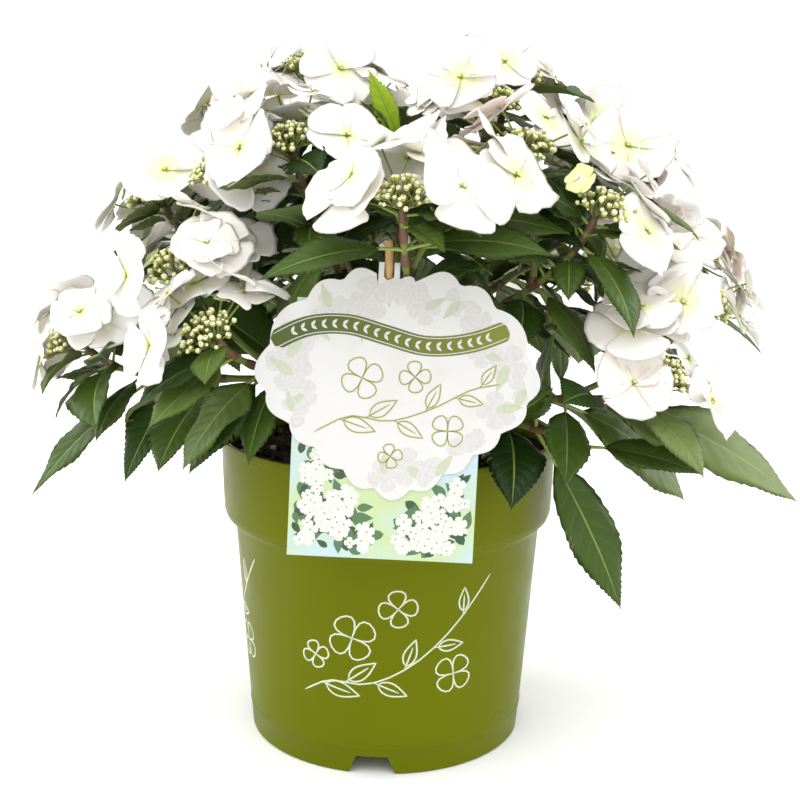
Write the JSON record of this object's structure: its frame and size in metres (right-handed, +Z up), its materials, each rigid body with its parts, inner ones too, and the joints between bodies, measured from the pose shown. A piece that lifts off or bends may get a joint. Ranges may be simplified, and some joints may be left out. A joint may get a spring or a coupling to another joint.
{
  "type": "potted hydrangea shrub",
  "caption": "Lacecap hydrangea shrub with white showy florets, growing from a short stem in a round plastic nursery pot with a plant label on a stick.",
  "frame": {"origin": "centre of the pot's flat underside, on the surface that it stands on", "axes": "+Z up along the pot's axis; the plant label faces -Y and +X is to its right as seen from the front"},
  "size_m": [0.4918, 0.4066, 0.4585],
  "materials": {
    "pot_plastic": "satin",
    "pot_print": "satin",
    "potting_soil": "matte",
    "perlite": "matte",
    "bark": "matte",
    "stem": "matte",
    "leaf": "satin",
    "petal": "matte",
    "bud": "matte",
    "board_print": "satin",
    "card_print": "gloss",
    "cane": "satin"
  },
  "bodies": {
    "root": {"pot": "pot_plastic", "root_ball": "potting_soil", "trunk": "bark", "label_board": "board_print", "label_card": "card_print", "label_stick": "cane", "bough_left_low": "bark", "bough_left_front": "bark", "bough_left_high": "bark", "bough_top_left": "bark", "bough_front_left": "bark", "bough_front": "bark", "bough_top_right": "bark", "bough_right_high": "bark", "bough_front_right": "bark", "bough_right": "bark", "bough_right_low": "bark", "bough_right_skirt": "bark", "bough_back_right": "bark", "bough_back": "bark", "bough_back_left": "bark", "bough_back_high": "bark", "foliage_left_low": "leaf", "foliage_left_front": "leaf", "foliage_left_high": "leaf", "foliage_top_left": "leaf", "foliage_front_left": "leaf", "foliage_front": "leaf", "foliage_top_right": "leaf", "foliage_right_high": "leaf", "foliage_front_right": "leaf", "foliage_right": "leaf", "foliage_right_low": "leaf", "foliage_right_skirt": "leaf", "foliage_young_tip": "leaf", "foliage_back_right": "leaf", "foliage_back": "leaf", "foliage_back_left": "leaf", "foliage_back_high": "leaf"}
  },
  "joints": []
}
